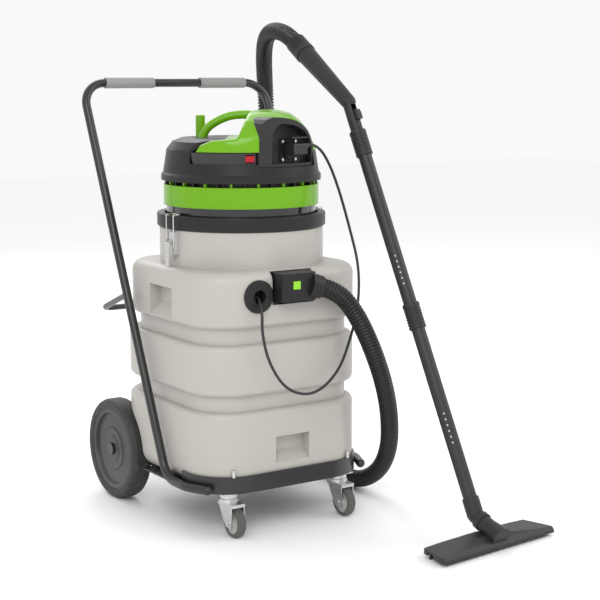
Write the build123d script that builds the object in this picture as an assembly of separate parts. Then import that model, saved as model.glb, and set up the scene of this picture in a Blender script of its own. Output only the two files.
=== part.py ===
from build123d import *
import math
import os

# Trolley wet-and-dry vacuum cleaner with a discharge pump, in millimetres, +Z up, front towards -Y.
# The machine is drawn about the axis of its round head and moved to MACHINE when it is written.
MACHINE = Location((-101, 155, 0))

# tank
TANK_HALF = 235
TANK_CORNER = 115
TANK_BOTTOM = 112
GROOVE_DEPTH = 20
LOWER_TOP = 303
MIDDLE_BOTTOM = 343
MIDDLE_TOP = 467
UPPER_BOTTOM = 508
UPPER_TOP = 642
NECK_R = 206
NECK_TOP = 731
WALL = 5
FOOT_ROUND = 45
LIP_ROUND = 14
SHOULDER_ROUND = 26
FRONT = -TANK_HALF
TANK_DEEPER = 20

# head
FLANGE_R = 212.5
FLANGE_TOP = 767
COLLAR_R = 189
COLLAR_TOP = 787
BAND_R = 195
BAND_TOP = 838
COVER_R = 201
COVER_BOTTOM = 848
COVER_TOP = 952
COVER_SHOULDER_R = 187
HEAD_TURN = -33.8
PANEL_LEFT = -112
PANEL_RIGHT = 48

# trolley
AXLE_Y = 245
WHEEL_R = 132
WHEEL_OUT = 262
WHEEL_W = 60
AXLE_R = 8
BASE_Z = 108
BASE_T = 4
BAND_T = 6
BAND_H = 42
CASTER_X = 162
CASTER_Y = -198
CASTER_TRAIL = 28
CASTER_R = 37.5
TUBE_R = 11
BAR_Y = 330
BAR_Z = 1086
BAR_HALF = 278
GRIP_R = 14
GRIP_IN = 71
GRIP_OUT = 212
STEP_R = 7.5
FIT = 0.05

# wand and floor tool, in their own upright plane
WAND_FOOT = Location((302, -667, 0), (0, 0, 6))
WAND_ANGLE = 64.5
WAND_R = 17
HANDLE_ANGLE = 36
HOSE_R = 23
CABLE_R = 3.5


def rounded_block(half, corner, z0, z1, low=0.0, high=0.0, deeper=0.0):
    """A block with rounded corners, its back face moved back by deeper."""
    plan = RectangleRounded(2 * half, 2 * half + deeper, corner)
    block = extrude(plan, z1 - z0).moved(Location((0, deeper / 2, z0)))
    if low:
        block = fillet(block.faces().sort_by(Axis.Z)[0].edges(), low)
    if high:
        block = fillet(block.faces().sort_by(Axis.Z)[-1].edges(), high)
    return block


def cylinder(radius, z0, z1, x=0.0, y=0.0):
    return Pos(x, y, z0) * Cylinder(radius, z1 - z0, align=(Align.CENTER, Align.CENTER, Align.MIN))


def box(x0, x1, y0, y1, z0, z1):
    return Pos(x0, y0, z0) * Box(x1 - x0, y1 - y0, z1 - z0, align=(Align.MIN, Align.MIN, Align.MIN))


def ring(outer, inner, z0, z1):
    return cylinder(outer, z0, z1) - cylinder(inner, z0 - 1, z1 + 1)


def rod(start, end, radius):
    """A round bar from one point to the other."""
    start, end = Vector(*start), Vector(*end)
    plane = Plane(origin=start, z_dir=(end - start).normalized())
    return plane * Cylinder(radius, (end - start).length, align=(Align.CENTER, Align.CENTER, Align.MIN))


def cone(start, end, r0, r1):
    start, end = Vector(*start), Vector(*end)
    plane = Plane(origin=start, z_dir=(end - start).normalized())
    return plane * Cone(r0, r1, (end - start).length, align=(Align.CENTER, Align.CENTER, Align.MIN))


def outline_xz(points, y0, y1):
    """A flat outline in X and Z, pushed from y0 to y1."""
    face = make_face(Polyline(*[(x, 0, z) for x, z in points], close=True))
    return extrude(face, y1 - y0, dir=(0, 1, 0)).moved(Location((0, y0, 0)))


def outline_yz(points, x0, x1):
    """A flat outline in Y and Z, pushed from x0 to x1."""
    face = make_face(Polyline(*[(0, y, z) for y, z in points], close=True))
    return extrude(face, x1 - x0, dir=(1, 0, 0)).moved(Location((x0, 0, 0)))


def turned(points):
    """A profile of radius and height, turned about Z."""
    face = make_face(Polyline(*[(r, 0, z) for r, z in points], close=True))
    return revolve(face, Axis.Z)


def mirrored(shape):
    return mirror(shape, Plane.YZ)


def save(name, shape, place=MACHINE):
    export_step(place * shape, f"parts/{name}.step")


def group(shapes):
    return Compound(list(shapes))


# ---------------------------------------------------------------- tank
def tank_form(inset):
    half, corner = TANK_HALF - inset, TANK_CORNER - inset
    core = rounded_block(half - GROOVE_DEPTH, corner - GROOVE_DEPTH, LOWER_TOP - 60, UPPER_BOTTOM + 60)
    lower = rounded_block(half, corner, TANK_BOTTOM + inset, LOWER_TOP - inset, FOOT_ROUND, LIP_ROUND,
                          TANK_DEEPER)
    middle = rounded_block(half, corner, MIDDLE_BOTTOM + inset, MIDDLE_TOP - inset, LIP_ROUND, LIP_ROUND,
                           TANK_DEEPER)
    upper = rounded_block(half, corner, UPPER_BOTTOM + inset, UPPER_TOP - inset, LIP_ROUND, SHOULDER_ROUND)
    neck = cylinder(NECK_R - inset, UPPER_TOP - 40, NECK_TOP)
    return lower + middle + upper + core + neck


def grip_recess(width, height, depth, ledge):
    """A hand recess in a face at Y = 0 that looks towards -Y, with a sloping ledge below it."""
    side = [(-1, height / 2), (depth, height / 2), (depth, -height / 2), (-1, -height / 2 - ledge)]
    return outline_yz(side, -width / 2, width / 2)


RECESS_SIDE_Z = 572
RECESS_FRONT_Z = 214
INLET_Z = 608
GROMMET_X = -98
GROMMET_Z = 584
GROMMET_HOLE_R = 27
WELL_IN = 182
WELL_GAP = 8


def tank():
    side = Location((-TANK_HALF, 0, RECESS_SIDE_Z), (0, 0, -90)) * grip_recess(112, 44, 30, 34)
    front = Location((0, FRONT, RECESS_FRONT_Z)) * grip_recess(98, 42, 30, 24)
    pocket = box(-58, 62, FRONT - 1, FRONT + 24, 560, 640)
    backs = [
        Location((-TANK_HALF, 0, RECESS_SIDE_Z), (0, 0, -90)) * grip_recess(122, 54, 35, 44),
        Location((0, FRONT, RECESS_FRONT_Z)) * grip_recess(108, 52, 35, 34),
        box(-63, 67, FRONT, FRONT + 29, 555, 637),
    ]
    backs.append(mirrored(backs[0]))
    hollow = tank_form(WALL) + cylinder(NECK_R - WALL, NECK_TOP - 1, NECK_TOP + 1)
    well = rod((WELL_IN, AXLE_Y, WHEEL_R), (TANK_HALF + 5, AXLE_Y, WHEEL_R), WHEEL_R + WELL_GAP)
    behind = rod((WELL_IN - WALL, AXLE_Y, WHEEL_R), (TANK_HALF + 5, AXLE_Y, WHEEL_R), WHEEL_R + WELL_GAP + WALL)
    channel = box(-250, 250, 225, 300, 100, 152)
    over_channel = box(-250, 250, 225 - WALL, 300, 100, 152 + WALL)
    for back in backs + [behind, mirrored(behind), over_channel]:
        hollow = hollow - back
    shell = tank_form(0) - hollow - side - mirrored(side) - front - pocket - well - mirrored(well) - channel
    grommet = rod((GROMMET_X, FRONT - 5, GROMMET_Z), (GROMMET_X, FRONT + 40, GROMMET_Z), GROMMET_HOLE_R)
    inlet = rod((0, FRONT - 5, INLET_Z), (0, FRONT + 60, INLET_Z), 21)
    return shell - grommet - inlet


def cable_grommet():
    bush = rod((GROMMET_X, FRONT - 7, GROMMET_Z), (GROMMET_X, FRONT, GROMMET_Z), 40)
    bush = fillet(bush.edges().sort_by(Axis.Y)[0], 4)
    bush = bush + rod((GROMMET_X, FRONT, GROMMET_Z), (GROMMET_X, FRONT + 14, GROMMET_Z), GROMMET_HOLE_R)
    return bush - rod((GROMMET_X, FRONT - 8, GROMMET_Z), (GROMMET_X, FRONT + 15, GROMMET_Z), 17)


def inlet_housing():
    """The elbow that turns the hose along the front of the tank, on its flange."""
    flange = box(-56, 60, FRONT + 18, FRONT + 23.9, 562, 636)
    body = box(-52, 46, FRONT - 40, FRONT + 18, 570, 638)
    body = fillet(body.edges().filter_by(Axis.Z), 14)
    spout = cone((29.8, FRONT - 24.8, 606.4), HOSE_ROUTE[0], 31, 28)
    pipe = rod((0, FRONT + 18, INLET_Z), (0, FRONT + 32, INLET_Z), 20.5)
    bore = rod((0, FRONT - 20, INLET_Z), (0, FRONT + 33, INLET_Z), 17)
    button = box(-25, -5, FRONT - 41, FRONT - 30, 600, 620)
    return flange + body + spout + pipe - bore - button


def release_button():
    return box(-24.6, -5.4, FRONT - 43, FRONT - 34, 600.4, 619.6)


# ---------------------------------------------------------------- trolley
def base_frame():
    outer = RectangleRounded(2 * (TANK_HALF + BAND_T), 2 * (TANK_HALF + BAND_T), TANK_CORNER + BAND_T)
    inner = RectangleRounded(2 * TANK_HALF + 1, 2 * TANK_HALF + 1, TANK_CORNER + 0.5)
    plate = extrude(outer, BASE_T)
    wall = extrude(outer - inner, BAND_H)
    tray = (plate + wall).moved(Location((0, 0, BASE_Z)))
    tray = tray - box(-260, 260, -105, 260, BASE_Z + BASE_T, BASE_Z + BAND_H + 1)
    tray = tray - box(-260, 260, 185, 260, BASE_Z - 1, BASE_Z + BAND_H + 1)
    notch = box(190, 260, 100, 260, BASE_Z - 1, BASE_Z + BAND_H + 1)
    tray = tray - notch - mirrored(notch)
    side = [(90, BASE_Z), (90, 96), (262, 104), (262, 158), (232, 158), (196, BASE_Z)]
    cheek = outline_yz(side, 184, 190)
    lug = box(231, 241.5, -75, -35, BASE_Z, 134)
    frame = tray + cheek + mirrored(cheek) + lug + mirrored(lug)
    return frame - rod((-200, AXLE_Y, WHEEL_R), (200, AXLE_Y, WHEEL_R), AXLE_R)


def frame_bolts():
    """One pin over each caster."""
    pin = cylinder(4.6, BASE_Z + BAND_H, BASE_Z + BAND_H + 17, 167.5, -231)
    return group([pin, mirrored(pin)])


HANDLE_KNEE = (252.5, -50, 121)
HANDLE_TURN = (253.5, -150, 121)
HANDLE_TIP = (227, -207, 121)


def push_handle():
    right = [HANDLE_TIP, HANDLE_TURN, HANDLE_KNEE, (BAR_HALF, BAR_Y, BAR_Z)]
    left = [(-x, y, z) for x, y, z in right]
    path = FilletPolyline(*left, *reversed(right), radius=[60, 60, 62, 62, 60, 60])
    section = Plane(origin=path @ 0, z_dir=path % 0) * (Circle(TUBE_R) - Circle(TUBE_R - 2))
    end = Pos(*HANDLE_TIP) * Sphere(TUBE_R)
    return sweep(section, path) + end + mirrored(end)


def leg_at(z):
    """The right leg's centre at that height."""
    knee, top = Vector(*HANDLE_KNEE), Vector(BAR_HALF, BAR_Y, BAR_Z)
    t = (z - knee.Z) / (top.Z - knee.Z)
    return knee + (top - knee) * t


def grips():
    sleeve = rod((GRIP_IN, BAR_Y, BAR_Z), (GRIP_OUT, BAR_Y, BAR_Z), GRIP_R)
    sleeve = sleeve - rod((GRIP_IN - 1, BAR_Y, BAR_Z), (GRIP_OUT + 1, BAR_Y, BAR_Z), TUBE_R)
    return group([sleeve, mirrored(sleeve)])


def rear_bar():
    start = leg_at(556)
    start = (start.X - 2, start.Y + TUBE_R + 2, start.Z)
    back = (start[0], 270, 504)
    path = FilletPolyline((-start[0], start[1], start[2]), (-back[0], back[1], back[2]), back, start, radius=28)
    section = Plane(origin=path @ 0, z_dir=path % 0) * Circle(STEP_R)
    return sweep(section, path)


def rear_axle():
    cap = rod((WHEEL_OUT - 7, AXLE_Y, WHEEL_R), (WHEEL_OUT - 2, AXLE_Y, WHEEL_R), 15)
    shaft = rod((-WHEEL_OUT + 7, AXLE_Y, WHEEL_R), (WHEEL_OUT - 7, AXLE_Y, WHEEL_R), AXLE_R)
    return shaft + cap + mirrored(cap)


def rear_wheel(profile):
    """A wheel part from its profile of radius and place along the axle, on the right-hand side."""
    part = turned(profile)
    return Location((WHEEL_OUT - WHEEL_W, AXLE_Y, WHEEL_R), (0, 90, 0)) * part


def tyre():
    w = WHEEL_W
    profile = [(104, 6), (112, 2), (124, 2), (WHEEL_R - 3, 7), (WHEEL_R, 15)]
    profile += [(r, w - s) for r, s in reversed(profile)]
    return rear_wheel(profile)


def wheel_disc():
    w = WHEEL_W
    profile = [(AXLE_R + FIT, 4), (26, 4), (26, 14), (84, 14), (92, 6), (103.9, 6), (103.9, w - 6), (95, w - 6)]
    profile += [(92, w - 13), (58, w - 12), (54, w - 9), (40, w - 10), (32, w - 8), (AXLE_R + FIT, w - 8)]
    return rear_wheel(profile)


FORK_TOP = 88
CASTER_AXLE_Z = CASTER_R


def caster_stems():
    """The fixed part of each swivel caster: its plate, bearing cup and kingpin."""
    plate = box(-30, 30, -24, 24, BASE_Z - 4, BASE_Z)
    stem = plate + cylinder(5.5, 80, BASE_Z - 4) + cylinder(22, FORK_TOP + 5, BASE_Z - 4)
    return group([Pos(x, CASTER_Y, 0) * stem for x in (-CASTER_X, CASTER_X)])


def caster_fork():
    """The swivelling fork with the wheel's pin riveted across it."""
    top = cylinder(24, FORK_TOP - 4, FORK_TOP + 4.5) - cylinder(5.5 + FIT, FORK_TOP - 5, FORK_TOP + 5)
    yoke = box(-19, 19, -CASTER_TRAIL - 16, 20, FORK_TOP - 12, FORK_TOP - 4)
    yoke = yoke - cylinder(9, FORK_TOP - 13, FORK_TOP - 3)
    side = [(18, FORK_TOP - 4), (8, FORK_TOP - 26), (-CASTER_TRAIL + 12, 26), (-CASTER_TRAIL - 12, 26)]
    side += [(-CASTER_TRAIL - 16, 50), (-CASTER_TRAIL - 12, FORK_TOP - 4)]
    cheek = outline_yz(side, 16.5, 19)
    pin = rod((-22, -CASTER_TRAIL, CASTER_AXLE_Z), (22, -CASTER_TRAIL, CASTER_AXLE_Z), 4)
    return top + yoke + cheek + mirrored(cheek) + pin


def caster_turned(profile):
    return Location((0, -CASTER_TRAIL, CASTER_AXLE_Z), (0, 90, 0)) * turned(profile)


def caster_core():
    return caster_turned([(4 + FIT, -15), (10, -15), (13, -9), (28, -9), (28, 9), (13, 9), (10, 15), (4 + FIT, 15)])


def caster_tread():
    r = CASTER_R
    return caster_turned([(28, -11), (33, -12), (r, -8), (r, 8), (33, 12), (28, 11)])


# ---------------------------------------------------------------- head
def head_flange():
    body = ring(FLANGE_R, NECK_R - 12, NECK_TOP + 3, FLANGE_TOP)
    body = fillet(body.edges().filter_by(GeomType.CIRCLE).sort_by(SortBy.RADIUS)[-2:], 3)
    return body


def head_gasket():
    return ring(NECK_R + 1, NECK_R - 10, NECK_TOP, NECK_TOP + 3)


def collar():
    body = ring(COLLAR_R, 170, FLANGE_TOP, COLLAR_TOP)
    return body


def vent_core():
    body = ring(180, 170, COLLAR_TOP, COVER_BOTTOM)
    fin = box(-2, 2, -192, -178, BAND_TOP, COVER_BOTTOM)
    for i in range(18):
        body = body + fin.rotate(Axis.Z, i * 20 + 5)
    return body


def vent_band():
    body = ring(BAND_R, 181, COLLAR_TOP, BAND_TOP)
    return body


def cover_form(gap):
    """The filled outside of the motor cover, grown by a gap."""
    return turned([(0, COVER_BOTTOM), (COVER_R + gap, COVER_BOTTOM), (COVER_R + gap, COVER_BOTTOM + 14),
                   (COVER_R - 5 + gap, COVER_BOTTOM + 20), (COVER_SHOULDER_R + gap, COVER_TOP - 28 + gap),
                   (172 + gap, COVER_TOP - 8 + gap), (150, COVER_TOP + gap), (0, COVER_TOP + gap)])


def motor_cover():
    window = box(PANEL_LEFT - 6, PANEL_RIGHT + 10, -200, -140, PANEL_LOW, COVER_TOP - 4)
    return cover_form(0) - cover_form(-5) - cylinder(COVER_R - 5, COVER_BOTTOM - 1, COVER_BOTTOM + 1) - window - arch(0.4)


def arch_outline(left, crown, right, top, low):
    """Upright on the left, rounded over the crown, and a long quarter ellipse down to the right."""
    points = [(left, low), (left, top - 42)]
    points += [(crown + (crown - left) * math.cos(math.radians(a)), top - 42 + 42 * math.sin(math.radians(a)))
               for a in (160, 140, 120, 100)]
    points += [(crown + (right - crown) * math.cos(math.radians(a)), 920 + (top - 920) * math.sin(math.radians(a)))
               for a in range(90, -1, -9)]
    return points + [(right, low)]


def arch(grow):
    """The solid that fills the dome's arch, grown by a gap on every side of its outline."""
    outline = arch_outline(-93 - grow, -56, 89 + grow, 1006 + grow, 886 - grow)
    return outline_xz(outline, -212, -118).rotate(Axis.Z, ARCH_ANGLE)


ARCH_ANGLE = 45
SOCKET_X = 16
SOCKET_Z = 924
PANEL_LOW = 893


def motor_plate():
    return cylinder(NECK_R - 13, NECK_TOP + 8, NECK_TOP + 16) - cylinder(60, NECK_TOP, NECK_TOP + 20)


def suction_motor(x):
    can = cylinder(62, NECK_TOP + 16, NECK_TOP + 96, x)
    top = cylinder(46, NECK_TOP + 96, NECK_TOP + 150, x)
    return can + top


def float_cage():
    cage = ring(58, 54, 600, NECK_TOP + 8)
    slots = [box(-70, 70, -9, 9, 625, 715).rotate(Axis.Z, i * 45) for i in range(4)]
    for slot in slots:
        cage = cage - slot
    return cage + ring(54, 30, 600, 604)


def float_ball():
    return Pos(0, 0, 640) * Sphere(36)


def filter_basket():
    return ring(160, 156, 560, NECK_TOP) + ring(NECK_R - 11, 156, NECK_TOP, NECK_TOP + 3) + cylinder(160, 556, 560)


def pump():
    """The discharge pump and the strainer foot it stands on."""
    foot = cylinder(74, TANK_BOTTOM + WALL, 140, 40, 60)
    return foot + cylinder(62, 140, 300, 40, 60) + cylinder(45, 300, 330, 40, 60)


# the head's top parts are drawn facing -Y and turned with the head
def top_cover():
    """The moulded top: visor over the switches, dome over the socket, and the carry handle."""
    silhouette = [(-112, 921), (-102, 938), (-64, 950), (4, 955), (12, 985), (22, 1008), (48, 1023), (90, 1023),
                  (125, 1012), (150, 992), (172, 960), (184, 935), (186, 900), (60, 900), (60, 921)]
    side = [(-190, 900), (-186, 952), (-152, 990), (-104, 1016), (-50, 1026), (10, 1024), (60, 1006), (100, 975),
            (118, 950), (118, 900)]
    body = outline_xz(silhouette, -190, 118) & cylinder(188, 900, 1100) & outline_yz(side, -130, 200)
    inside = outline_xz([(-90, 900), (-90, 930), (16, 945), (34, 995), (56, 1012), (88, 1012), (118, 1000),
                         (150, 970), (165, 935), (165, 900)], -140, 96)
    body = body - inside - cover_form(0.3) - arch(0.4)
    visor = ring(188, 182.5, 921, COVER_TOP - 4.4) & outline_xz(silhouette, -190, -100)
    visor = visor & box(PANEL_LEFT - 5, PANEL_RIGHT + 9, -200, -100, 900, 1000)
    path = FilletPolyline((-98, -20, 944), (-86, -20, 972), (-30, -20, 1006), (26, -20, 1010), radius=[24, 40])
    section = Plane(origin=path @ 0, z_dir=path % 0) * Circle(9.5)
    return body + (visor - arch(0.4)) + (sweep(section, path) - cover_form(0.3))


def cable_post():
    """The upright stub that the mains lead is wound round."""
    post = cylinder(12, COVER_TOP, 1006, -105, 50)
    return fillet(post.edges().sort_by(Axis.Z)[-1], 3)


ROCKER_X = 29


def switch_panel():
    """A curved panel let into the front of the cover, with the rocker's raised frame."""
    body = ring(COVER_SHOULDER_R - 1, 180, PANEL_LOW + 0.4, 920.6)
    body = body & box(PANEL_LEFT - 5, ROCKER_X + 12, -200, -140, 880, 930)
    body = body + box(ROCKER_X - 14, ROCKER_X + 13.6, -189, -177, 895, 919)
    return body - box(ROCKER_X - 11, ROCKER_X + 11, -190, -170, 897, 917)


def rocker():
    side = [(-187, 899.5), (-191, 914.5), (-180, 914.5), (-180, 899.5)]
    return outline_yz(side, ROCKER_X - 10.7, ROCKER_X + 10.7)


def in_arch(shape):
    """Place a part drawn about the socket's centre, facing -Y, in the arch."""
    return shape.moved(Location((SOCKET_X, 0, SOCKET_Z))).rotate(Axis.Z, ARCH_ANGLE)


def socket_housing():
    """The dark insert under the dome's arch, open at the front."""
    pocket = outline_xz(arch_outline(-62, -34, 80, 990, 894), -213, -150).rotate(Axis.Z, ARCH_ANGLE)
    body = (arch(0) & cylinder(187.5, 880, 1100)) - pocket
    return body - in_arch(box(-20, 20, -151, -117, -20, 20))


def pump_socket():
    plate = box(-27, 27, -154, -150.1, -27, 27)
    barrel = rod((0, -150.1, 0), (0, -126, 0), 17)
    nose = rod((0, -160, 0), (0, -154, 0), 20)
    bore = rod((0, -161, 0), (0, -132, 0), 12)
    return in_arch(plate + barrel + nose - bore)


def socket_screws():
    places = [(x, z) for x in (-22, 22) for z in (-22, 22)]
    return group([in_arch(rod((x, -157, z), (x, -154, z), 3.6)) for x, z in places])


def socket_lid():
    """The sprung flap over the socket, held up by the plug."""
    return in_arch(outline_yz([(-154.3, 29.5), (-192, 34), (-193, 30.5), (-154.3, 26)], -26, 26))


def pump_plug():
    stub = rod((0, -161, 0), (0, -134, 0), 11.7)
    body = box(-16, 30, -190, -160.2, -10, 18)
    body = fillet(body.edges().filter_by(Axis.X), 5)
    relief = cone((30, -178, 8), (44, -181, 14), 8, 4.5)
    return in_arch(stub + body + relief)


# ---------------------------------------------------------------- latches, on the left side of the neck
LATCH_X = -219
LATCH_Y = -24
LEVER_Z = 704
BAIL_Z = 694
WIRE_R = 1.8


def latch_plates():
    back = box(LATCH_X + 3, -200, LATCH_Y - 15, LATCH_Y + 15, 672, 728) - cylinder(NECK_R, 600, 730)
    ear = box(LATCH_X - 5, LATCH_X + 6, LATCH_Y + 10, LATCH_Y + 12.5, 699, 709)
    plate = back + ear + ear.moved(Location((0, -22.5, 0)))
    plate = plate - rod((LATCH_X, LATCH_Y - 20, LEVER_Z), (LATCH_X, LATCH_Y + 20, LEVER_Z), 2 + FIT)
    return group([plate, mirrored(plate)])


def latch_lever():
    """The handle strap, folded down, with its pivot pin and its two cheeks."""
    cheek = box(LATCH_X - 7, LATCH_X + 2.6, LATCH_Y + 7, LATCH_Y + 9, 664, 705)
    strap = box(LATCH_X - 9.5, LATCH_X - 7, LATCH_Y - 9, LATCH_Y + 9, 645, 704)
    pin = rod((LATCH_X, LATCH_Y - 13.5, LEVER_Z), (LATCH_X, LATCH_Y + 13.5, LEVER_Z), 2)
    lever = cheek + cheek.moved(Location((0, -16, 0))) + strap + pin
    return lever - rod((LATCH_X, LATCH_Y - 20, BAIL_Z), (LATCH_X, LATCH_Y + 20, BAIL_Z), WIRE_R + FIT)


def latch_bail():
    """The wire that pulls the flange down: a hook over its top edge, bent from one rod."""
    top = FLANGE_TOP + 0.4 + WIRE_R
    side = [(LATCH_X, LATCH_Y, BAIL_Z), (LATCH_X, LATCH_Y + 17.5, BAIL_Z), (LATCH_X, LATCH_Y + 17.5, top)]
    side.append((LATCH_X + 19, LATCH_Y + 17.5, top))
    other = [(x, 2 * LATCH_Y - y, z) for x, y, z in side]
    path = FilletPolyline(*side[1:], *reversed(other[1:]), radius=3.5)
    section = Plane(origin=path @ 0, z_dir=path % 0) * Circle(WIRE_R)
    pin = rod((LATCH_X, LATCH_Y - 17.5, BAIL_Z), (LATCH_X, LATCH_Y + 17.5, BAIL_Z), WIRE_R)
    return sweep(section, path) + pin


# ---------------------------------------------------------------- wand and floor tool (X across, Y back, Z up)
def along(start, degrees, length):
    """The point that far from start in the wand's plane, at that angle above the floor."""
    a = math.radians(degrees)
    return (start[0], start[1] + length * math.cos(a), start[2] + length * math.sin(a))


NECK_START = (0, 20, 40)
NECK_ANGLE = 22
RING_AT = along(NECK_START, NECK_ANGLE, 42)
ELBOW_AT = along(NECK_START, NECK_ANGLE, 70)
TUBE_FOOT = along(ELBOW_AT, WAND_ANGLE, 45)
JOINT_AT = along(ELBOW_AT, WAND_ANGLE, 505)
TUBE_TOP = along(ELBOW_AT, WAND_ANGLE, 997)
BEND_AT = along(ELBOW_AT, WAND_ANGLE, 1078)
CUFF_AT = along(BEND_AT, HANDLE_ANGLE, 221)
CUFF_TOP = along(BEND_AT, HANDLE_ANGLE, 257)


def hollow_rod(start, end, outer, inner):
    return rod(start, end, outer) - rod(start, end, inner)


def lower_tube():
    return hollow_rod(along(ELBOW_AT, WAND_ANGLE, 16), JOINT_AT, WAND_R, WAND_R - 2)


def upper_tube():
    return hollow_rod(JOINT_AT, TUBE_TOP, WAND_R, WAND_R - 2)


def wand_sleeves():
    spans = [(472, 537), (931, 997)]
    ends = [(along(ELBOW_AT, WAND_ANGLE, low), along(ELBOW_AT, WAND_ANGLE, high)) for low, high in spans]
    return group([hollow_rod(low, high, WAND_R + 4.5, WAND_R) for low, high in ends])


def wand_cuff():
    return hollow_rod(CUFF_AT, CUFF_TOP, 27, HOSE_R + 0.3)


def wand_handle():
    """The bent hand grip: a straight socket, the bend, and a cone up to the hose cuff."""
    straight = rod(TUBE_TOP, BEND_AT, 16)
    knuckle = Pos(*BEND_AT) * Sphere(19)
    grip = cone(BEND_AT, CUFF_AT, 19, 26)
    lip = rod(along(BEND_AT, HANDLE_ANGLE, 205), CUFF_AT, 27.5)
    outside = straight + knuckle + grip + lip
    inside = rod(TUBE_TOP, BEND_AT, 13) + Pos(*BEND_AT) * Sphere(13) + cone(BEND_AT, CUFF_AT, 13, 18)
    window = SLIDER_PLACE * box(-8, 8, -28, -10, -18, 26)
    return outside - inside - window


SLIDER_PLACE = Location(along(ELBOW_AT, WAND_ANGLE, 1040), (WAND_ANGLE - 90, 0, 0))


def suction_slider():
    """The air-bleed slider in the window of the hand grip."""
    return SLIDER_PLACE * (box(-7.6, 7.6, -24, -16.1, -17.6, 8) + box(-7.6, 7.6, -26, -23, -17.6, 2))


def tool_elbow():
    outer = rod(along(NECK_START, NECK_ANGLE, 42.05), ELBOW_AT, 19) + Pos(*ELBOW_AT) * Sphere(19) + rod(ELBOW_AT, TUBE_FOOT, 20.5)
    bore = rod(RING_AT, ELBOW_AT, 14) + Pos(*ELBOW_AT) * Sphere(14) + rod(ELBOW_AT, TUBE_FOOT, 14)
    return outer - bore - rod(along(ELBOW_AT, WAND_ANGLE, 16), TUBE_FOOT, WAND_R)


def swivel_ring():
    return hollow_rod(RING_AT, along(NECK_START, NECK_ANGLE, 56), 23, 19 + FIT)


TOOL_HALF = 187
TOOL_DEPTH = 88


def tool_body():
    half, depth = TOOL_HALF, TOOL_DEPTH
    plan = [(-half, 0), (half, 0), (half, 16), (half - 18, depth), (18 - half, depth), (-half, 16)]
    body = extrude(make_face(Polyline(*[(x, y, 8) for x, y in plan], close=True)), 40)
    slope = [(-1, 7), (-1, 14), (10, 26), (30, 34), (70, 34), (depth - 6, 27), (depth + 1, 18), (depth + 1, 7)]
    front = [(-half - 1, 7), (-half - 1, 22), (-60, 31), (-40, 36), (40, 36), (60, 31), (half + 1, 22), (half + 1, 7)]
    body = body & outline_yz(slope, -half - 1, half + 1) & outline_xz(front, -1, depth + 1)
    body = body - box(-half + 8, half - 8, 10, depth - 14, 7, 16)
    neck = rod(along(NECK_START, NECK_ANGLE, -14), RING_AT, 20)
    fairing = cone(along(NECK_START, NECK_ANGLE, -20), along(NECK_START, NECK_ANGLE, 24), 26, 20)
    clear = box(-60, 60, -60, 120, -40, 16)
    return body + (neck + fairing - clear) - rod(along(NECK_START, NECK_ANGLE, 10), RING_AT, 14)


def tool_strips():
    long = 2 * TOOL_HALF - 30
    strips = [box(-long / 2, long / 2, y, y + 4, 0, 16) for y in (14, TOOL_DEPTH - 24)]
    return group(strips)


# ---------------------------------------------------------------- cords
HOSE_ROUTE = [(62, -264, 598), (108, -270, 586), (152, -286, 530), (198, -292, 440), (246, -280, 340),
              (284, -254, 245), (316, -212, 150), (332, -150, 72), (332, -62, 23.4), (332, 40, 23.4),
              (350, 150, 23.4), (370, 230, 23.4), (369, 300, 38), (361, 352, 76), (349, 386, 132),
              (338, 396, 205), (331, 394, 300), (326, 388, 420), (322, 380, 660), (324, 384, 860),
              (322, 386, 1010), (310, 376, 1095), (286, 342, 1158), (258, 291, 1200), (234, 230, 1222),
              (221, 168, 1224), (220.5, 108.3, 1206.7), (225.9, 56.8, 1169.1)]
CABLE_ROUTE = [(94, -166, 938), (122, -160, 936), (168, -143, 895), (210, -132, 818), (236, -140, 725),
               (245, -172, 625), (205, -224, 532), (160, -254, 462), (108, -276, 384), (30, -284, 336),
               (-50, -284, 358), (-98, -280, 430), (-114, -275, 505), (-106, -266, 556), (-98, -234, 581)]


def tube_path(route, name):
    """Straight runs joined by the largest tangent arcs that the runs allow."""
    points = [Vector(*p) for p in route]
    radii = []
    for a, b, c in zip(points, points[1:], points[2:]):
        turn = math.radians((b - a).get_angle(c - b))
        shorter = min((b - a).length, (c - b).length)
        radii.append(0.45 * shorter / math.tan(turn / 2))
        print(f"{name}: turn {math.degrees(turn):.0f}, radius {radii[-1]:.0f}")
    return FilletPolyline(*points, radius=radii)


def tube(route, radius, name):
    path = tube_path(route, name)
    solid = sweep(Plane(origin=path @ 0, z_dir=path % 0) * Circle(radius), path)
    print(f"{name}: length {path.length:.0f}, volume ratio {solid.volume / (math.pi * radius**2 * path.length):.4f}")
    return solid


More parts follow.
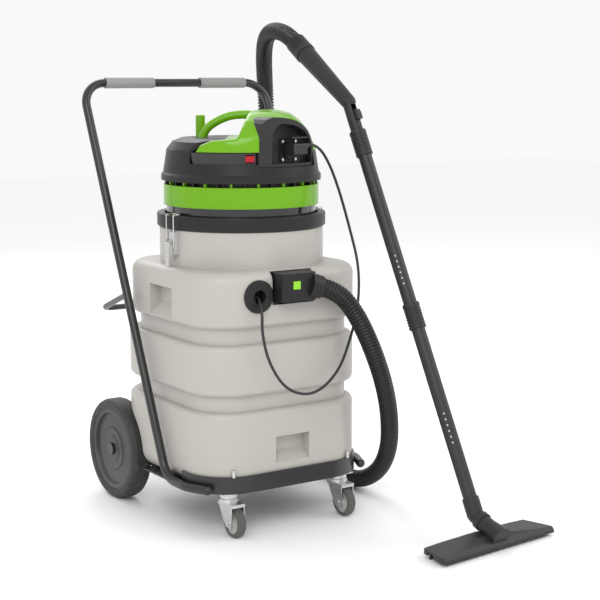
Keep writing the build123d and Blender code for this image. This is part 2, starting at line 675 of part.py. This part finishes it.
def main():
    os.makedirs("parts", exist_ok=True)
    head = MACHINE * Location((0, 0, 0), (0, 0, HEAD_TURN))
    save("base_frame", base_frame())
    save("push_handle", push_handle())
    save("frame_bolts", frame_bolts())
    save("grips", grips())
    save("rear_bar", rear_bar())
    save("rear_axle", rear_axle())
    save("caster_stems", caster_stems())
    for side, turn in (("right", lambda s: s), ("left", mirrored)):
        save(f"{side}_tyre", turn(tyre()))
        save(f"{side}_wheel_disc", turn(wheel_disc()))
        place = MACHINE * Location(((CASTER_X if side == "right" else -CASTER_X), CASTER_Y, 0))
        save(f"{side}_caster_fork", caster_fork(), place)
        save(f"{side}_caster_core", caster_core(), place)
        save(f"{side}_caster_tread", caster_tread(), place)
    save("tank", tank())
    save("cable_grommet", cable_grommet())
    save("inlet_housing", inlet_housing())
    save("release_button", release_button())
    save("head_gasket", head_gasket())
    save("head_flange", head_flange())
    save("collar", collar(), head)
    save("vent_core", vent_core(), head)
    save("vent_band", vent_band(), head)
    save("motor_cover", motor_cover(), head)
    save("top_cover", top_cover(), head)
    save("cable_post", cable_post(), head)
    save("switch_panel", switch_panel(), head)
    save("rocker", rocker(), head)
    save("socket_housing", socket_housing(), head)
    save("pump_socket", pump_socket(), head)
    save("socket_screws", socket_screws(), head)
    save("socket_lid", socket_lid(), head)
    save("pump_plug", pump_plug(), head)
    save("motor_plate", motor_plate(), head)
    save("suction_motors", group([suction_motor(-90), suction_motor(90)]), head)
    save("float_cage", float_cage())
    save("float_ball", float_ball())
    save("filter_basket", filter_basket())
    save("pump", pump())
    save("latch_plates", latch_plates())
    for side, turn in (("left", lambda s: s), ("right", mirrored)):
        save(f"{side}_latch_lever", turn(latch_lever()))
        save(f"{side}_latch_bail", turn(latch_bail()))
    wand = MACHINE * WAND_FOOT
    save("lower_tube", lower_tube(), wand)
    save("upper_tube", upper_tube(), wand)
    save("wand_sleeves", wand_sleeves(), wand)
    save("wand_handle", wand_handle(), wand)
    save("wand_cuff", wand_cuff(), wand)
    save("suction_slider", suction_slider(), wand)
    save("tool_elbow", tool_elbow(), wand)
    save("swivel_ring", swivel_ring(), wand)
    save("tool_body", tool_body(), wand)
    save("tool_strips", tool_strips(), wand)
    save("suction_hose", tube(HOSE_ROUTE, HOSE_R, "hose"))
    save("pump_cable", tube(CABLE_ROUTE, CABLE_R, "cable"))


if __name__ == "__main__":
    main()
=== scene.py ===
import math
import bmesh
import bpy
from mathutils import Matrix, Vector


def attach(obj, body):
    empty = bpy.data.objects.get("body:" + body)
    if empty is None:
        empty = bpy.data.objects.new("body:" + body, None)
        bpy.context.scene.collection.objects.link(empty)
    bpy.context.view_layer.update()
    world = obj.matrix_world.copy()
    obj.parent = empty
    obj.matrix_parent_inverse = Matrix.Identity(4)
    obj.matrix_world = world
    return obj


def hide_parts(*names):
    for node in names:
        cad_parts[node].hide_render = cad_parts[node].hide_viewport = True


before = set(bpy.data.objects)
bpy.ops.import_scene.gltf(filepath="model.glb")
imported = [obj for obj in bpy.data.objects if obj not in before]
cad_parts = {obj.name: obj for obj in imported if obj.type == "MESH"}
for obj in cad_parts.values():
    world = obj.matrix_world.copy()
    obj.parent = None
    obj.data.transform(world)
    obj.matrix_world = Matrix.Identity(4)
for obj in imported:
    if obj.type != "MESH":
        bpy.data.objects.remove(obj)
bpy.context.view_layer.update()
print("frame loaded")

machine = Matrix.Translation((-0.101, 0.155, 0))                       # the round head's axis, on the floor
head = machine @ Matrix.Rotation(math.radians(-33.8), 4, "Z")
wand = machine @ Matrix.Translation((0.302, -0.667, 0)) @ Matrix.Rotation(math.radians(6), 4, "Z")


# camera
camera = {"place": (-2.012, -2.9642, 1.0997), "look": (0.55013, 0.82115, -0.15188), "lens": 86.8}
camData = bpy.data.cameras.new("camera")
camData.lens = camera["lens"]
camData.sensor_width = 36
camObj = bpy.data.objects.new("camera", camData)
camObj.location = camera["place"]
camObj.rotation_euler = Vector(camera["look"]).to_track_quat("-Z", "Y").to_euler()
bpy.context.scene.collection.objects.link(camObj)
bpy.context.scene.camera = camObj


# shader helper
class Wire:
    def __init__(self, tree, socket):
        self.tree = tree
        self.socket = socket

    def node(self, kind, settings=None, out=0, **inputs):
        made = self.tree.nodes.new(kind)
        for key, value in (settings or {}).items():
            if key == "stops":
                ramp = made.color_ramp
                while len(ramp.elements) < len(value):
                    ramp.elements.new(0.5)
                for element, (place, colour) in zip(ramp.elements, value):
                    element.position = place
                    element.color = (*colour, 1) if len(colour) == 3 else colour
            else:
                setattr(made, key, value)
        for key, value in inputs.items():
            name = int(key[1:]) if key[0] == "i" and key[1:].isdigit() else key.replace("_", " ")
            put(self.tree, made.inputs[name], value)
        return Wire(self.tree, made.outputs[out])

    def math(self, operation, a, b=0.0):
        return self.node("ShaderNodeMath", {"operation": operation}, i0=a, i1=b)

    def __add__(self, other): return self.math("ADD", self, other)
    def __radd__(self, other): return self.math("ADD", other, self)
    def __sub__(self, other): return self.math("SUBTRACT", self, other)
    def __rsub__(self, other): return self.math("SUBTRACT", other, self)
    def __mul__(self, other): return self.math("MULTIPLY", self, other)
    def __rmul__(self, other): return self.math("MULTIPLY", other, self)
    def __truediv__(self, other): return self.math("DIVIDE", self, other)
    def __gt__(self, other): return self.math("GREATER_THAN", self, other)


def put(tree, socket, value):
    if isinstance(value, Wire):
        tree.links.new(value.socket, socket)
    else:
        socket.default_value = value


def mixColour(wire, factor, a, b):
    a, b = [(*colour, 1) if isinstance(colour, tuple) else colour for colour in (a, b)]
    return wire.node("ShaderNodeMix", {"data_type": "RGBA"}, out=2, i0=factor, i6=a, i7=b)


def finish(name, colour, rough, metal=0.0, coat=0.0, grain=900, bump=0.02, mottle=0.06, moteScale=9,
           brushed=None, specular=0.5, special=None):
    roughSwing, fineSwing, coatRough, bumpStrength = 0.06, 0.04, 0.08, 0.25
    mat = bpy.data.materials.new(name)
    mat.use_nodes = True
    tree = mat.node_tree
    tree.nodes.clear()
    shader = tree.nodes.new("ShaderNodeBsdfPrincipled")
    output = tree.nodes.new("ShaderNodeOutputMaterial")
    tree.links.new(shader.outputs[0], output.inputs[0])
    start = Wire(tree, None)
    place = start.node("ShaderNodeTexCoord", out=3)
    if brushed:
        place = start.node("ShaderNodeMapping", Vector=place, Scale=brushed)
    cloud = start.node("ShaderNodeTexNoise", Vector=place, Scale=moteScale, Detail=4, Roughness=0.6)
    fine = start.node("ShaderNodeTexNoise", Vector=place, Scale=grain, Detail=2, Roughness=0.5)
    darker = tuple(c * (1 - mottle) for c in colour)
    lighter = tuple(min(1, c * (1 + mottle)) for c in colour)
    tint = mixColour(start, cloud, darker, lighter)
    shade = rough - roughSwing / 2 + roughSwing * cloud + fineSwing * (fine - 0.5)
    if special:
        tint, shade = special(start, place, tint, shade)
    put(tree, shader.inputs["Base Color"], tint)
    put(tree, shader.inputs["Roughness"], shade)
    shader.inputs["Metallic"].default_value = metal
    shader.inputs["Coat Weight"].default_value = coat
    shader.inputs["Coat Roughness"].default_value = coatRough
    shader.inputs["Specular IOR Level"].default_value = specular
    bumped = start.node("ShaderNodeBump", Height=fine, Strength=bumpStrength, Distance=bump * 0.001)
    put(tree, shader.inputs["Normal"], bumped)
    return mat


def lowDust(start, place, tint, shade):                                # a little dry dust near the floor
    height = start.node("ShaderNodeSeparateXYZ", out=2, Vector=place)
    low = start.node("ShaderNodeMapRange", Value=height, i1=0.0, i2=0.12, i3=0.22, i4=0.0)
    return mixColour(start, low, tint, (0.30, 0.28, 0.25)), shade + 0.3 * low


def wornRim(start, place, tint, shade):                                # paler rubbed streaks on tyres
    streak = start.node("ShaderNodeTexNoise", Vector=place, Scale=70, Detail=5, Roughness=0.7)
    rubbed = start.node("ShaderNodeMapRange", Value=streak, i1=0.5, i2=0.75, i3=0.0, i4=0.25)
    return mixColour(start, rubbed, tint, (0.16, 0.155, 0.15)), shade + 0.15 * rubbed


wandAxis = {"foot": (0, 0.0849, 0.06622), "lean": math.radians(64.5)}
marks = {"pitch": 0.0145, "radius": 0.0021, "rows": [(0.578, 0.672), (0.170, 0.262)],
         "facing": (-0.62, -0.78, 0), "strength": 0.85, "colour": (0.60, 0.60, 0.58)}
wandRun = wand.to_3x3() @ Vector((0, math.cos(wandAxis["lean"]), math.sin(wandAxis["lean"])))
wandFoot = wand @ Vector(wandAxis["foot"])
wandSide = wandRun.cross(Vector(marks["facing"])).normalized()
wandFront = wandSide.cross(wandRun)


def heightMarks(start, place, tint, shade):                            # pale dots up the two wand tubes
    off = start.node("ShaderNodeVectorMath", {"operation": "SUBTRACT"}, i0=place, i1=tuple(wandFoot))
    dot = {"operation": "DOT_PRODUCT"}
    up, across, front = [start.node("ShaderNodeVectorMath", dot, out=1, i0=off, i1=tuple(way))
                         for way in (wandRun, wandSide, wandFront)]
    beat = (up.math("FRACT", up / marks["pitch"]) - 0.5) * marks["pitch"]
    spot = (marks["radius"] ** 2 - beat * beat - across * across) > 0
    rows = [(up > low) * ((high - up) > 0) for low, high in marks["rows"]]
    cover = spot * (front > 0) * (rows[0] + rows[1]) * marks["strength"]
    return mixColour(start, cover, tint, marks["colour"]), shade


looks = {
    "paintBlack": dict(colour=(0.015, 0.015, 0.016), rough=0.36, coat=0.15, grain=700, bump=0.03),
    "barPaint": dict(colour=(0.06, 0.06, 0.062), rough=0.34, coat=0.2, grain=700, bump=0.02),
    "gripFoam": dict(colour=(0.29, 0.29, 0.285), rough=0.68, grain=1400, bump=0.25),
    "steel": dict(colour=(0.62, 0.62, 0.61), rough=0.26, metal=1, grain=900, bump=0.01, brushed=(1, 1,
                  6)),
    "zinc": dict(colour=(0.60, 0.61, 0.60), rough=0.34, metal=1, grain=500, bump=0.04, moteScale=60,
                 mottle=0.12),
    "tyreRubber": dict(colour=(0.026, 0.026, 0.026), rough=0.62, grain=900, bump=0.12, special=wornRim),
    "discGrey": dict(colour=(0.028, 0.028, 0.029), rough=0.45, grain=1100, bump=0.05, special=lowDust),
    "coreGrey": dict(colour=(0.42, 0.42, 0.41), rough=0.45, grain=1100, bump=0.05, special=lowDust),
    "treadRubber": dict(colour=(0.045, 0.046, 0.045), rough=0.6, grain=900, bump=0.1, special=lowDust),
    "tankGrey": dict(colour=(0.445, 0.425, 0.395), rough=0.40, grain=1500, bump=0.10, mottle=0.035,
                     moteScale=5),
    "headBlack": dict(colour=(0.016, 0.015, 0.016), rough=0.42, grain=1600, bump=0.14, specular=0.28),
    "innerGrey": dict(colour=(0.026, 0.026, 0.027), rough=0.45, grain=1500, bump=0.12, specular=0.3),
    "gloss": dict(colour=(0.012, 0.012, 0.013), rough=0.12, coat=0.6, grain=600, bump=0.01),
    "leafGreen": dict(colour=(0.140, 0.37, 0.001), rough=0.28, coat=0.12, grain=1300, bump=0.03,
                      mottle=0.04, specular=0.3),
    "buttonGreen": dict(colour=(0.25, 0.62, 0.01), rough=0.3, coat=0.3, grain=1300, bump=0.03),
    "signalRed": dict(colour=(0.42, 0.004, 0.016), rough=0.26, coat=0.1, grain=1300, bump=0.03,
                      specular=0.25),
    "gasketRubber": dict(colour=(0.03, 0.03, 0.03), rough=0.6, grain=1200, bump=0.08),
    "wandPaint": dict(colour=(0.028, 0.028, 0.028), rough=0.42, grain=1200, bump=0.08, specular=0.35,
                      special=heightMarks),
    "hoseBlack": dict(colour=(0.009, 0.009, 0.009), rough=0.36, grain=900, bump=0.06, specular=0.35),
    "cableRubber": dict(colour=(0.018, 0.018, 0.018), rough=0.45, grain=1500, bump=0.05),
    "filterCloth": dict(colour=(0.62, 0.62, 0.57), rough=0.85, grain=2200, bump=0.4),
}
finishes = {name: finish(name, **look) for name, look in looks.items()}
wears = {
    "paintBlack": ["base_frame", "push_handle", "rear_axle"],
    "barPaint": ["rear_bar"],
    "gripFoam": ["grips"],
    "steel": ["frame_bolts", "socket_screws"],
    "zinc": ["caster_stems", "left_caster_fork", "right_caster_fork", "latch_plates", "left_latch_lever",
             "right_latch_lever", "left_latch_bail", "right_latch_bail"],
    "tyreRubber": ["left_tyre", "right_tyre"],
    "discGrey": ["left_wheel_disc", "right_wheel_disc"],
    "coreGrey": ["left_caster_core", "right_caster_core"],
    "treadRubber": ["left_caster_tread", "right_caster_tread"],
    "tankGrey": ["tank"],
    "headBlack": ["motor_cover", "head_flange", "vent_core", "cable_grommet", "inlet_housing",
                  "socket_lid", "pump_socket", "wand_cuff"],
    "innerGrey": ["socket_housing", "motor_plate", "suction_motors", "float_cage", "float_ball", "pump",
                  "wand_sleeves", "wand_handle", "suction_slider", "tool_elbow", "swivel_ring", "tool_body"],
    "gloss": ["collar", "switch_panel"],
    "leafGreen": ["vent_band", "top_cover", "cable_post"],
    "buttonGreen": ["release_button"],
    "signalRed": ["rocker"],
    "gasketRubber": ["head_gasket", "tool_strips"],
    "wandPaint": ["lower_tube", "upper_tube"],
    "cableRubber": ["pump_plug"],
    "filterCloth": ["filter_basket"],
}
for look, nodes in wears.items():
    for name in nodes:
        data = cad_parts[name].data
        data.materials.clear()
        data.materials.append(finishes[look])
print("finishes on the frame")


def piece(name, mesh, look, body, slot, *replaced):
    if isinstance(mesh, bmesh.types.BMesh):
        made = bpy.data.meshes.new(name)
        mesh.to_mesh(made)
        mesh.free()
        mesh = made
    mesh.materials.clear()
    mesh.materials.append(finishes[look])
    obj = bpy.data.objects.new(name, mesh)
    bpy.context.scene.collection.objects.link(obj)
    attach(obj, body)
    if replaced:
        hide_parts(*replaced)
    return obj


# cords first
hose = {"radius": 0.023, "pitch": 0.0085, "valley": 0.0032, "sides": 28, "beats": (0.28, 0.42, 0.72, 0.86),
        "body": "machine", "route": [
    (62, -264, 598), (108, -270, 586), (152, -286, 530), (198, -292, 440), (246, -280, 340), (284, -254, 245),
    (316, -212, 150), (332, -150, 72), (332, -62, 23.4), (332, 40, 23.4), (350, 150, 23.4), (370, 230, 23.4),
    (369, 300, 38), (361, 352, 76), (349, 386, 132), (338, 396, 205), (331, 394, 300), (326, 388, 420),
    (322, 380, 660), (324, 384, 860), (322, 386, 1010), (310, 376, 1095), (286, 342, 1158), (258, 291, 1200),
    (234, 230, 1222), (221, 168, 1224), (220.5, 108.3, 1206.7), (225.9, 56.8, 1169.1)]}
cable = {"radius": 0.0035, "body": "machine", "route": [
    (94, -166, 938), (122, -160, 936), (168, -143, 895), (210, -132, 818), (236, -140, 725), (245, -172, 625),
    (205, -224, 532), (160, -254, 462), (108, -276, 384), (30, -284, 336), (-50, -284, 358), (-98, -280, 430),
    (-114, -275, 505), (-106, -266, 556), (-98, -234, 581)]}


def routeCurve(name, route, radius, steps):
    data = bpy.data.curves.new(name, "CURVE")
    data.dimensions = "3D"
    spline = data.splines.new("NURBS")
    spline.points.add(len(route) - 1)
    for point, (x, y, z) in zip(spline.points, route):
        point.co = (*(machine @ Vector((x / 1000, y / 1000, z / 1000))), 1)
    spline.order_u = 3
    spline.use_endpoint_u = True
    spline.resolution_u = steps
    data.bevel_depth = radius
    data.bevel_resolution = 5
    data.use_fill_caps = True
    return data


def readPath(data):                                                    # the spline's own line, as points
    obj = bpy.data.objects.new("line", data)
    bpy.context.scene.collection.objects.link(obj)
    mesh = bpy.data.meshes.new_from_object(obj.evaluated_get(bpy.context.evaluated_depsgraph_get()))
    points = [v.co.copy() for v in mesh.vertices]
    bpy.data.objects.remove(obj)
    bpy.data.meshes.remove(mesh)
    return points


class Rail:
    def __init__(self, points):
        self.points = points
        self.at = [0.0]
        for a, b in zip(points, points[1:]):
            self.at.append(self.at[-1] + (b - a).length)
        self.length = self.at[-1]
        side = (points[1] - points[0]).orthogonal().normalized()
        self.frames = []
        for i in range(len(points)):
            ahead = (points[min(i + 1, len(points) - 1)] - points[max(i - 1, 0)]).normalized()
            side = (side - ahead * side.dot(ahead)).normalized()
            self.frames.append((side.copy(), ahead.cross(side)))

    def place(self, u, v, s):
        i = min(max(bisectAt(self.at, s), 0), len(self.at) - 2)
        t = (s - self.at[i]) / (self.at[i + 1] - self.at[i])
        centre = self.points[i].lerp(self.points[i + 1], t)
        side = self.frames[i][0].lerp(self.frames[i + 1][0], t)
        other = self.frames[i][1].lerp(self.frames[i + 1][1], t)
        return centre + side * u + other * v


def bisectAt(values, s):
    low, high = 0, len(values) - 1
    while high - low > 1:
        middle = (low + high) // 2
        if values[middle] > s:
            high = middle
        else:
            low = middle
    return low


def spun(profile, sides):                                              # radius and height, spun about Z
    shape = bmesh.new()
    line = [shape.verts.new((r, 0, z)) for r, z in profile]
    edges = [shape.edges.new(pair) for pair in zip(line, line[1:])]
    bmesh.ops.spin(shape, geom=line + edges, cent=(0, 0, 0), axis=(0, 0, 1), dvec=(0, 0, 0), angle=math.tau,
                   steps=sides, use_merge=True, use_duplicate=False)
    bmesh.ops.remove_doubles(shape, verts=shape.verts[:], dist=1e-6)
    bmesh.ops.recalc_face_normals(shape, faces=shape.faces[:])
    for face in shape.faces:
        face.smooth = True
    return shape


hoseLine = routeCurve("hoseLine", hose["route"], 0, 24)
hosePath = readPath(hoseLine)
rail = Rail(hosePath)
ribs = int(rail.length / hose["pitch"])
step = rail.length / ribs
crest, bore = hose["radius"], hose["radius"] * 0.75
valley = crest - hose["valley"]
profile = [(bore, 0), (crest, 0)]
for i in range(ribs):
    z = i * step
    profile += [(r, z + step * beat) for r, beat in zip((crest, valley, valley, crest), hose["beats"])]
profile += [(crest, rail.length), (bore, rail.length)]
hoseShape = spun(profile, hose["sides"])
for vert in hoseShape.verts:
    vert.co = rail.place(vert.co.x, vert.co.y, vert.co.z)
suctionHose = piece("suctionHose", hoseShape, "hoseBlack", hose["body"], "hose_black", "suction_hose")
cableCurve = routeCurve("pumpCable", cable["route"], cable["radius"], 24)
pumpCable = bpy.data.objects.new("pumpCable", cableCurve)
bpy.context.scene.collection.objects.link(pumpCable)
cableCurve.materials.append(finishes["cableRubber"])
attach(pumpCable, cable["body"])
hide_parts("pump_cable")
print("cords made")


# the green top: a moulded skin over the head, with an arch for the pump socket
dome = {"radius": 0.189, "flat": 0.182, "edge": 0.007, "low": 0.9225, "thick": 0.003, "rings": 64, "sides": 240,
        "blend": 0.012, "lip": 0.0008, "buried": 0.002, "backEdge": 0.122, "leftEdge": -0.104, "inside": 0.18,
        "across": [(-0.190, 0.915), (-0.102, 0.922), (-0.094, 0.938), (-0.064, 0.950), (-0.020, 0.953),
                   (0.000, 0.957), (0.006, 0.975), (0.018, 1.006), (0.024, 1.018), (0.048, 1.0235),
                   (0.068, 1.0245), (0.090, 1.023),
                   (0.125, 1.012), (0.150, 0.992), (0.172, 0.960), (0.186, 0.930), (0.190, 0.922)],
        "back": [(-0.190, 0.938), (-0.186, 0.956), (-0.170, 0.980), (-0.150, 0.996), (-0.104, 1.017),
                 (-0.050, 1.0265), (0.010, 1.0245), (0.060, 1.008), (0.100, 0.978), (0.120, 0.945),
                 (0.190, 0.915)],
        "arch": {"turn": 45, "left": -0.093, "crown": -0.056, "right": 0.089, "low": 0.886, "top": 1.006,
                 "spring": 0.920, "shoulder": 0.042, "front": -0.215, "rear": -0.118}}


def between(table, x):
    for (x0, z0), (x1, z1) in zip(table, table[1:]):
        if x <= x1:
            return z0 + (z1 - z0) * max(0.0, (x - x0) / (x1 - x0))
    return table[-1][1]


def softMin(a, b, k):
    gap = max(k - abs(a - b), 0.0) / k
    return min(a, b) - gap * gap * k / 4


def domeHeight(x, y):
    spread = [between(dome["across"], x + d) for d in (-0.004, -0.002, 0, 0.002, 0.004)]
    return softMin(sum(spread) / 5, between(dome["back"], y), dome["blend"])


radii = [0.0] + [dome["flat"] * i / dome["rings"] for i in range(1, dome["rings"] + 1)]
radii += [dome["flat"] + dome["edge"] * math.sin(math.radians(a)) for a in (20, 40, 60, 75, 90)]
skin = spun([(r, 1) for r in radii] + [(dome["radius"], 0)], dome["sides"])
for vert in skin.verts:
    reach = vert.co.xy.length
    if vert.co.z > 0.5:
        out = max(reach - dome["flat"], 0) / dome["edge"]
        fall = dome["edge"] * (1 - math.sqrt(max(1 - out * out, 0)))
        vert.co.z = max(domeHeight(vert.co.x, vert.co.y) - fall, dome["low"] + dome["lip"])
    else:
        vert.co.z = dome["low"]
hidden = [v for v in skin.verts if v.co.y > dome["backEdge"] or v.co.x < dome["leftEdge"] or
          (v.co.z < dome["low"] + dome["buried"] and v.co.xy.length < dome["inside"])]
bmesh.ops.delete(skin, geom=hidden, context="VERTS")
bmesh.ops.recalc_face_normals(skin, faces=skin.faces[:])
if sum(face.normal.z for face in skin.faces) < 0:
    bmesh.ops.reverse_faces(skin, faces=skin.faces[:])
temp = bpy.data.meshes.new("temp")
skin.to_mesh(temp)
skin.free()
temp.transform(head)
domeObj = bpy.data.objects.new("domeWork", temp)
bpy.context.scene.collection.objects.link(domeObj)
arch = dome["arch"]
outline = [(arch["left"], arch["low"]), (arch["left"], arch["top"] - arch["shoulder"])]
for turn in (160, 140, 120, 100):
    lean = math.radians(turn)
    outline.append((arch["crown"] + (arch["crown"] - arch["left"]) * math.cos(lean),
                    arch["top"] - arch["shoulder"] + arch["shoulder"] * math.sin(lean)))
for turn in range(90, -1, -9):
    lean = math.radians(turn)
    outline.append((arch["crown"] + (arch["right"] - arch["crown"]) * math.cos(lean),
                    arch["spring"] + (arch["top"] - arch["spring"]) * math.sin(lean)))
outline.append((arch["right"], arch["low"]))
cutter = bmesh.new()
loop = [cutter.verts.new((x, arch["front"], z)) for x, z in outline]
face = cutter.faces.new(loop)
pushed = bmesh.ops.extrude_face_region(cutter, geom=[face])
bmesh.ops.translate(cutter, verts=[v for v in pushed["geom"] if isinstance(v, bmesh.types.BMVert)],
                    vec=(0, arch["rear"] - arch["front"], 0))
bmesh.ops.recalc_face_normals(cutter, faces=cutter.faces[:])
cutMesh = bpy.data.meshes.new("cutter")
cutter.to_mesh(cutMesh)
cutter.free()
cutMesh.transform(head @ Matrix.Rotation(math.radians(arch["turn"]), 4, "Z"))
cutObj = bpy.data.objects.new("cutter", cutMesh)
bpy.context.scene.collection.objects.link(cutObj)
thicken = domeObj.modifiers.new("thicken", "SOLIDIFY")
thicken.thickness = dome["thick"]
thicken.offset = -1
cut = domeObj.modifiers.new("cut", "BOOLEAN")
cut.object = cutObj
cut.operation = "DIFFERENCE"
cut.solver = "EXACT"
domeMesh = bpy.data.meshes.new_from_object(domeObj.evaluated_get(bpy.context.evaluated_depsgraph_get()))
bpy.data.objects.remove(domeObj)
bpy.data.objects.remove(cutObj)
handleLine = bpy.data.curves.new("handleLine", "CURVE")
handleLine.dimensions = "3D"
spline = handleLine.splines.new("NURBS")
handle = {"radius": 0.0105, "route": [(-0.098, -0.02, 0.940), (-0.092, -0.02, 0.968), (-0.066, -0.02, 0.990),
                                      (-0.030, -0.02, 1.006), (0.004, -0.02, 1.0095),
                                      (0.030, -0.02, 1.008), (0.050, -0.02, 1.006)]}
spline.points.add(len(handle["route"]) - 1)
for point, co in zip(spline.points, handle["route"]):
    point.co = (*(head @ Vector(co)), 1)
spline.order_u = 3
spline.use_endpoint_u = True
handleLine.bevel_depth = handle["radius"]
handleLine.bevel_resolution = 6
handleLine.use_fill_caps = True
handleObj = bpy.data.objects.new("handleWork", handleLine)
bpy.context.scene.collection.objects.link(handleObj)
handleMesh = bpy.data.meshes.new_from_object(handleObj.evaluated_get(bpy.context.evaluated_depsgraph_get()))
bpy.data.objects.remove(handleObj)
whole = bmesh.new()
whole.from_mesh(domeMesh)
whole.from_mesh(handleMesh)
for face in whole.faces:
    face.smooth = True
topCover = piece("topCover", whole, "leafGreen", "machine", "green", "top_cover")
sharp = topCover.modifiers.new("sharp", "EDGE_SPLIT")
sharp.split_angle = math.radians(40)
print("top cover made")

# the green ribs across the vent gap
vent = {"count": 18, "offset": 5, "inner": 0.179, "outer": 0.1915, "low": 0.8385, "top": 0.8475, "half": 0.0032,
        "round": 0.0009}
vents = bmesh.new()
for i in range(vent["count"]):
    made = bmesh.ops.create_cube(vents, size=1)["verts"]
    middle = (vent["inner"] + vent["outer"]) / 2
    shape = Matrix.Diagonal((vent["outer"] - vent["inner"], vent["half"] * 2, vent["top"] - vent["low"], 1))
    lift = Matrix.Translation((middle, 0, (vent["low"] + vent["top"]) / 2))
    turn = Matrix.Rotation(math.radians(i * 360 / vent["count"] + vent["offset"]), 4, "Z")
    bmesh.ops.transform(vents, matrix=head @ turn @ lift @ shape, verts=made)
bmesh.ops.bevel(vents, geom=vents.edges[:], offset=vent["round"], segments=2, profile=0.5, affect="EDGES",
                material=-1)
piece("ventRibs", vents, "leafGreen", "machine", "green")
print("vent ribs made")

# the ribbed sleeves that lock the wand tubes
sleeve = {"spans": [(0.472, 0.537), (0.931, 0.997)], "bore": 0.01705, "outer": 0.0215, "groove": 0.0013,
          "ribs": 7, "plain": 0.007, "edge": 0.0012, "beats": (0, 0.2, 0.42, 0.62)}
sleeves = bmesh.new()
for low, high in sleeve["spans"]:
    bore, outer, edge = sleeve["bore"], sleeve["outer"], sleeve["edge"]
    groove = outer - sleeve["groove"]
    step = (high - low - 2 * sleeve["plain"]) / sleeve["ribs"]
    line = [(bore, low), (outer - edge, low), (outer, low + edge)]
    for i in range(sleeve["ribs"]):
        z = low + sleeve["plain"] + i * step
        line += [(r, z + step * beat) for r, beat in zip((outer, groove, groove, outer), sleeve["beats"])]
    line += [(outer, high - edge), (outer - edge, high), (bore, high), (bore, low)]
    turned = spun(line, 64)
    work = bpy.data.meshes.new("sleeveWork")
    turned.to_mesh(work)
    turned.free()
    work.transform(Matrix.Translation(wandFoot) @ wandRun.to_track_quat("Z", "X").to_matrix().to_4x4())
    sleeves.from_mesh(work)
    bpy.data.meshes.remove(work)
wandSleeves = piece("wandSleeves", sleeves, "innerGrey", "machine", "dark_grey", "wand_sleeves")
split = wandSleeves.modifiers.new("sharp", "EDGE_SPLIT")
split.split_angle = math.radians(35)
print("sleeves made")


# room
stage = {"size": 12, "glow": 0.95}
floor = bmesh.new()
bmesh.ops.create_grid(floor, x_segments=1, y_segments=1, size=stage["size"])
floorMesh = bpy.data.meshes.new("floor")
floor.to_mesh(floorMesh)
floor.free()
floorMesh.materials.append(finish("floorPaint", (0.97, 0.97, 0.97), 0.6, mottle=0.01, grain=200, bump=0.0))
floorObj = bpy.data.objects.new("floor", floorMesh)
bpy.context.scene.collection.objects.link(floorObj)
world = bpy.data.worlds.new("world")
world.use_nodes = True
world.node_tree.nodes["Background"].inputs[0].default_value = (1, 1, 1, 1)
world.node_tree.nodes["Background"].inputs[1].default_value = stage["glow"]
bpy.context.scene.view_settings.view_transform = "Standard"
bpy.context.scene.world = world
lamps = [{"place": (-3.2, -3.6, 3.6), "size": 2.4, "power": 95},
         {"place": (3.4, -2.2, 3.0), "size": 2.2, "power": 40},
         {"place": (0.5, 3.5, 3.4), "size": 2.6, "power": 60}]
for i, lamp in enumerate(lamps):
    light = bpy.data.lights.new(f"lamp{i}", "AREA")
    light.size = lamp["size"]
    light.energy = lamp["power"]
    obj = bpy.data.objects.new(f"lamp{i}", light)
    obj.location = lamp["place"]
    obj.rotation_euler = (Vector((0, 0, 0.5)) - Vector(lamp["place"])).to_track_quat("-Z", "Y").to_euler()
    bpy.context.scene.collection.objects.link(obj)
print("room lit")
